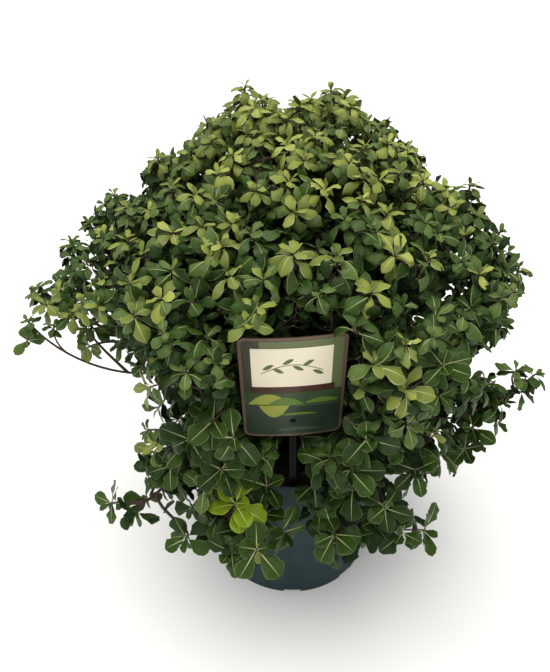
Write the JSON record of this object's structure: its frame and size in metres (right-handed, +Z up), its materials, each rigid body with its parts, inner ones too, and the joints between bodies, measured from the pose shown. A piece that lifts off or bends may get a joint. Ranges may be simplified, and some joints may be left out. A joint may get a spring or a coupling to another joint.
{
  "type": "potted pittosporum shrub",
  "caption": "Dense rounded evergreen shrub with small wavy leaves on short woody boughs, standing in a round nursery pot of compost with a plain label card on a stake.",
  "frame": {"origin": "centre of the pot's flat underside, on the ground", "axes": "+Z up the trunk, -Y to the side that the label card faces, +X to the right of that view"},
  "size_m": [0.5136, 0.439, 0.5472],
  "materials": {
    "pot": "satin slate grey plastic",
    "compost": "loose dark brown compost",
    "bark": "rough dark brown bark",
    "foliage": "satin green leaves",
    "label_card": "glossy card",
    "label_stake": "satin black plastic"
  },
  "bodies": {
    "root": {"bough_lower_1": "bark", "bough_lower_2": "bark", "bough_lower_3": "bark", "bough_lower_4": "bark", "bough_lower_5": "bark", "bough_lower_6": "bark", "bough_middle_1": "bark", "bough_middle_2": "bark", "bough_middle_3": "bark", "bough_middle_4": "bark", "bough_middle_5": "bark", "bough_middle_6": "bark", "bough_middle_7": "bark", "bough_stray_left": "bark", "bough_stray_low": "bark", "bough_stray_right": "bark", "bough_top_1": "bark", "bough_top_2": "bark", "bough_top_3": "bark", "bough_top_4": "bark", "bough_upper_1": "bark", "bough_upper_2": "bark", "bough_upper_3": "bark", "bough_upper_4": "bark", "bough_upper_5": "bark", "bough_upper_6": "bark", "compost": "compost", "foliage_leader": "foliage", "foliage_lower_1": "foliage", "foliage_lower_2": "foliage", "foliage_lower_3": "foliage", "foliage_lower_4": "foliage", "foliage_lower_5": "foliage", "foliage_lower_6": "foliage", "foliage_middle_1": "foliage", "foliage_middle_2": "foliage", "foliage_middle_3": "foliage", "foliage_middle_4": "foliage", "foliage_middle_5": "foliage", "foliage_middle_6": "foliage", "foliage_middle_7": "foliage", "foliage_stray_left": "foliage", "foliage_stray_low": "foliage", "foliage_stray_right": "foliage", "foliage_top_1": "foliage", "foliage_top_2": "foliage", "foliage_top_3": "foliage", "foliage_top_4": "foliage", "foliage_upper_1": "foliage", "foliage_upper_2": "foliage", "foliage_upper_3": "foliage", "foliage_upper_4": "foliage", "foliage_upper_5": "foliage", "foliage_upper_6": "foliage", "label_card": "label_card", "label_stake": "label_stake", "pot": "pot", "trunk": "bark"}
  },
  "joints": []
}
